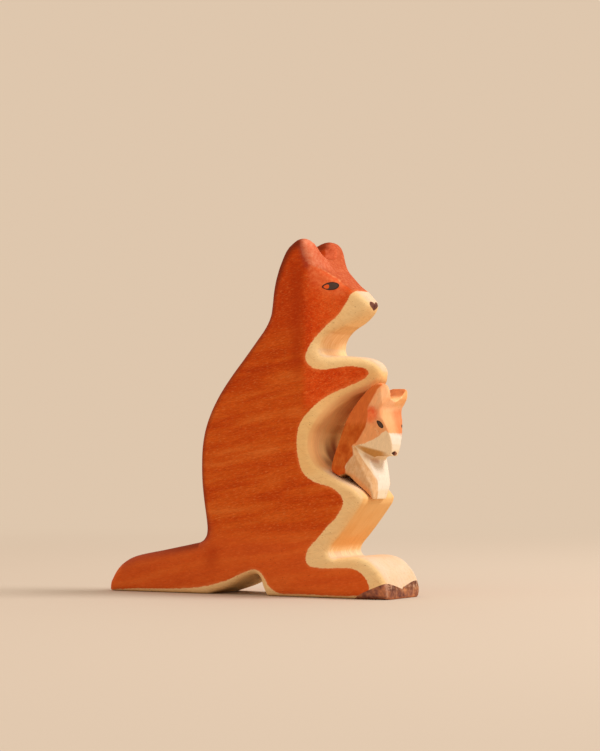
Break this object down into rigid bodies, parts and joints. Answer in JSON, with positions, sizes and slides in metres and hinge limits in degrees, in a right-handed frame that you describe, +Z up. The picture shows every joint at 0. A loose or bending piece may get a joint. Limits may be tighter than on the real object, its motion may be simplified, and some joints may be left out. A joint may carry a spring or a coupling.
{
  "type": "wooden kangaroo figurine",
  "caption": "Carved wooden kangaroo sawn from a plank, sitting upright on foot and tail, with a small joey that lifts out of its lap.",
  "frame": {"origin": "on the surface the figurine stands on, under the middle of its length and of the plank", "axes": "+X towards the kangaroo's nose and toes, +Y to its left across the plank, +Z up"},
  "size_m": [0.1336, 0.03, 0.1454],
  "materials": {
    "stained_wood": "satin stain over plain maple, natural wood left bare along the belly",
    "light_wood": "satin stain over plain maple, bare at chest and muzzle"
  },
  "bodies": {
    "mother": {"mother_kangaroo": "stained_wood"},
    "joey": {"joey": "light_wood"}
  },
  "joints": [
    {"name": "joey_slide", "type": "slide", "parent": "mother", "child": "joey", "axis": [0.9703, 0, 0.2419], "range_m": [0, 0.045]}
  ]
}
